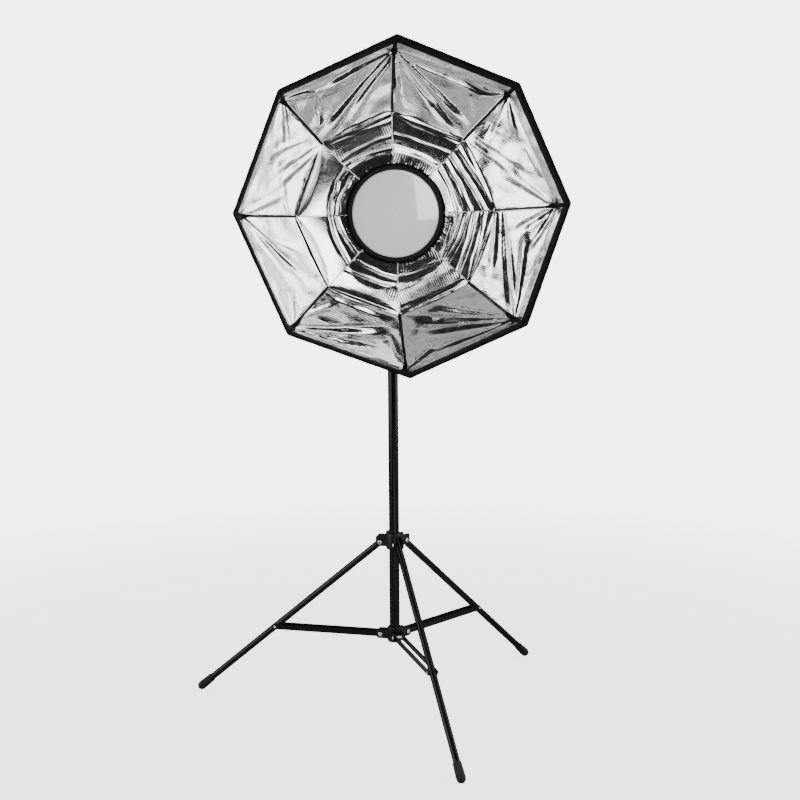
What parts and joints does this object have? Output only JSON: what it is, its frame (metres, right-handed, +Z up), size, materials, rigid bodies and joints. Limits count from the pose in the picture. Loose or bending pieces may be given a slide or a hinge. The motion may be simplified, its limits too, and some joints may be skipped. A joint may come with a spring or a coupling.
{
  "type": "studio softbox",
  "caption": "Folding octagonal studio softbox with silver lining and round LED lamp head, on a telescopic light stand with a braced folding tripod.",
  "frame": {"origin": "on the floor under the middle of the bounding box, tripod open and softbox open", "axes": "+Z up, the softbox faces -Y, tipped up a few degrees, +X to the right seen from the front"},
  "size_m": [0.8534, 0.8154, 1.5249],
  "materials": {
    "black_paint": "semi-gloss black powder coat",
    "black_plastic": "satin moulded black",
    "rubber": "matt black rubber",
    "bolt_steel": "zinc-plated steel",
    "heat_sink_metal": "plain extruded aluminium",
    "board_white": "white solder mask",
    "opal_acrylic": "glossy opal white",
    "black_cloth": "woven black nylon: outer shell, rim binding, hook-and-loop band and pockets",
    "silver_cloth": "silver embossed reflective lining, black outside"
  },
  "bodies": {
    "column": {"main_tube": "black_paint", "lower_hub": "black_plastic", "hub_pin_1": "bolt_steel", "hub_pin_2": "bolt_steel", "hub_pin_3": "bolt_steel", "main_tube_clamp": "black_plastic"},
    "leg_collar": {"leg_collar": "black_plastic", "collar_pin_1": "bolt_steel", "collar_pin_2": "bolt_steel", "collar_pin_3": "bolt_steel"},
    "collar_knob": {"collar_knob": "black_plastic"},
    "leg_1": {"leg_tube_1": "black_paint", "foot_cap_1": "rubber"},
    "leg_2": {"leg_tube_2": "black_paint", "foot_cap_2": "rubber"},
    "leg_3": {"leg_tube_3": "black_paint", "foot_cap_3": "rubber"},
    "brace_1": {"brace_1_strap_a": "black_paint", "brace_1_strap_b": "black_paint"},
    "brace_2": {"brace_2_strap_a": "black_paint", "brace_2_strap_b": "black_paint"},
    "brace_3": {"brace_3_strap_a": "black_paint", "brace_3_strap_b": "black_paint"},
    "main_clamp_knob": {"main_clamp_knob": "black_plastic"},
    "section_2": {"section_2_tube": "black_paint", "section_2_clamp": "black_plastic"},
    "upper_clamp_knob": {"upper_clamp_knob": "black_plastic"},
    "section_3": {"section_3_tube": "black_paint", "spigot": "bolt_steel"},
    "head_bracket": {"bracket_socket": "black_plastic"},
    "socket_knob": {"socket_knob": "black_plastic"},
    "tilt_handle": {"tilt_handle": "black_plastic"},
    "lamp_head": {"diffuser": "opal_acrylic", "bezel": "black_plastic", "led_board": "board_white", "heat_sink": "heat_sink_metal", "lamp_housing": "black_plastic", "rear_cover": "black_plastic", "driver_box": "heat_sink_metal", "power_inlet": "black_plastic", "rib_ring": "black_plastic", "gore_1": "silver_cloth", "gore_2": "silver_cloth", "gore_3": "silver_cloth", "gore_4": "silver_cloth", "gore_5": "silver_cloth", "gore_6": "silver_cloth", "gore_7": "silver_cloth", "gore_8": "silver_cloth"},
    "rocker_switch": {"rocker_switch": "black_plastic"},
    "dimmer_knob": {"dimmer_knob": "black_plastic"},
    "rib_1": {"rib_1": "black_paint"},
    "rib_2": {"rib_2": "black_paint"},
    "rib_3": {"rib_3": "black_paint"},
    "rib_4": {"rib_4": "black_paint"},
    "rib_5": {"rib_5": "black_paint"},
    "rib_6": {"rib_6": "black_paint"},
    "rib_7": {"rib_7": "black_paint"},
    "rib_8": {"rib_8": "black_paint"}
  },
  "joints": [
    {"name": "leg_fold", "type": "slide", "parent": "column", "child": "leg_collar", "axis": [0, 0, 1], "range_m": [0, 0.3791]},
    {"name": "leg_1_hinge", "type": "hinge", "parent": "leg_collar", "child": "leg_1", "pos_m": [0.01243, 0.09495, 0.396], "axis": [-0.342, -0.9397, 0], "range_deg": [0, 43.74]},
    {"name": "leg_2_hinge", "type": "hinge", "parent": "leg_collar", "child": "leg_2", "pos_m": [0.04806, 0.05249, 0.396], "axis": [0.9848, 0.1736, 0], "range_deg": [0, 43.74]},
    {"name": "leg_3_hinge", "type": "hinge", "parent": "leg_collar", "child": "leg_3", "pos_m": [0.06701, 0.10457, 0.396], "axis": [-0.6428, 0.766, 0], "range_deg": [0, 43.74]},
    {"name": "brace_1_hinge", "type": "hinge", "parent": "column", "child": "brace_1", "pos_m": [0.01243, 0.09495, 0.174], "axis": [0.342, 0.9397, 0], "range_deg": [0, 82.15]},
    {"name": "brace_2_hinge", "type": "hinge", "parent": "column", "child": "brace_2", "pos_m": [0.04806, 0.05249, 0.174], "axis": [-0.9848, -0.1736, 0], "range_deg": [0, 82.15]},
    {"name": "brace_3_hinge", "type": "hinge", "parent": "column", "child": "brace_3", "pos_m": [0.06701, 0.10457, 0.174], "axis": [0.6428, -0.766, 0], "range_deg": [0, 82.15]},
    {"name": "collar_lock", "type": "hinge", "parent": "leg_collar", "child": "collar_knob", "pos_m": [0.03729, 0.11354, 0.405], "axis": [-0.1736, 0.9848, 0], "range_deg": [0, 270]},
    {"name": "main_clamp_lock", "type": "hinge", "parent": "column", "child": "main_clamp_knob", "pos_m": [0.03729, 0.11354, 0.8405], "axis": [-0.1736, 0.9848, 0], "range_deg": [0, 270]},
    {"name": "section_2_slide", "type": "slide", "parent": "column", "child": "section_2", "axis": [0, 0, 1], "range_m": [-0.036, 0.48]},
    {"name": "upper_clamp_lock", "type": "hinge", "parent": "section_2", "child": "upper_clamp_knob", "pos_m": [0.03729, 0.11354, 0.9125], "axis": [-0.1736, 0.9848, 0], "range_deg": [0, 270]},
    {"name": "section_3_slide", "type": "slide", "parent": "section_2", "child": "section_3", "axis": [0, 0, 1], "range_m": [-0.072, 0.455]},
    {"name": "head_swivel", "type": "hinge", "parent": "section_3", "child": "head_bracket", "pos_m": [0.0425, 0.084, 1.02], "axis": [0, 0, 1], "continuous": true},
    {"name": "socket_lock", "type": "hinge", "parent": "head_bracket", "child": "socket_knob", "pos_m": [0.0425, 0.114, 1.02], "axis": [0, 1, 0], "range_deg": [0, 270]},
    {"name": "head_tilt", "type": "hinge", "parent": "head_bracket", "child": "lamp_head", "pos_m": [0.0425, 0.084, 1.071], "axis": [1, 0, 0], "range_deg": [-75, 30]},
    {"name": "tilt_lock", "type": "hinge", "parent": "head_bracket", "child": "tilt_handle", "pos_m": [0.0425, 0.084, 1.071], "axis": [1, 0, 0], "range_deg": [0, 270]},
    {"name": "power_rocker", "type": "hinge", "parent": "lamp_head", "child": "rocker_switch", "pos_m": [0.0371, 0.11388, 1.1726], "axis": [1, 0, 0], "range_deg": [-16, 0]},
    {"name": "dimmer_turn", "type": "hinge", "parent": "lamp_head", "child": "dimmer_knob", "pos_m": [0.0671, 0.11338, 1.14653], "axis": [0, 0.9954, -0.0958], "range_deg": [-270, 0]},
    {"name": "softbox_fold", "type": "hinge", "parent": "lamp_head", "child": "rib_1", "pos_m": [0.03559, 0.05707, 1.22427], "axis": [0.9998, 0.002, 0.0208], "range_deg": [0, 29.5], "deforming": ["gore_1", "gore_2", "gore_3", "gore_4", "gore_5", "gore_6", "gore_7", "gore_8"]},
    {"name": "rib_2_fold", "type": "hinge", "parent": "lamp_head", "child": "rib_2", "pos_m": [-0.01487, 0.05494, 1.20222], "axis": [0.6921, 0.0692, 0.7184], "range_deg": [0, 29.5]},
    {"name": "rib_3_fold", "type": "hinge", "parent": "lamp_head", "child": "rib_3", "pos_m": [-0.03488, 0.05002, 1.15112], "axis": [-0.0209, 0.0958, 0.9952], "range_deg": [0, 29.5]},
    {"name": "rib_4_fold", "type": "hinge", "parent": "lamp_head", "child": "rib_4", "pos_m": [-0.01273, 0.04519, 1.10089], "axis": [-0.7218, 0.0663, 0.689], "range_deg": [0, 29.5]},
    {"name": "rib_5_fold", "type": "hinge", "parent": "lamp_head", "child": "rib_5", "pos_m": [0.03861, 0.04327, 1.08097], "axis": [-0.9998, -0.002, -0.0208], "range_deg": [0, 29.5]},
    {"name": "rib_6_fold", "type": "hinge", "parent": "lamp_head", "child": "rib_6", "pos_m": [0.08907, 0.04539, 1.10301], "axis": [-0.6921, -0.0692, -0.7184], "range_deg": [0, 29.5]},
    {"name": "rib_7_fold", "type": "hinge", "parent": "lamp_head", "child": "rib_7", "pos_m": [0.10908, 0.05031, 1.15412], "axis": [0.0209, -0.0958, -0.9952], "range_deg": [0, 29.5]},
    {"name": "rib_8_fold", "type": "hinge", "parent": "lamp_head", "child": "rib_8", "pos_m": [0.08693, 0.05515, 1.20435], "axis": [0.7218, -0.0663, -0.689], "range_deg": [0, 29.5]}
  ],
  "couplings": [
    {"joint": "leg_1_hinge", "follows": "leg_fold", "rad_per_m": 2.013},
    {"joint": "leg_2_hinge", "follows": "leg_fold", "rad_per_m": 2.013},
    {"joint": "leg_3_hinge", "follows": "leg_fold", "rad_per_m": 2.013},
    {"joint": "brace_1_hinge", "follows": "leg_fold", "rad_per_m": 3.7809},
    {"joint": "brace_2_hinge", "follows": "leg_fold", "rad_per_m": 3.7809},
    {"joint": "brace_3_hinge", "follows": "leg_fold", "rad_per_m": 3.7809},
    {"joint": "rib_2_fold", "follows": "softbox_fold", "ratio": 1},
    {"joint": "rib_3_fold", "follows": "softbox_fold", "ratio": 1},
    {"joint": "rib_4_fold", "follows": "softbox_fold", "ratio": 1},
    {"joint": "rib_5_fold", "follows": "softbox_fold", "ratio": 1},
    {"joint": "rib_6_fold", "follows": "softbox_fold", "ratio": 1},
    {"joint": "rib_7_fold", "follows": "softbox_fold", "ratio": 1},
    {"joint": "rib_8_fold", "follows": "softbox_fold", "ratio": 1}
  ]
}
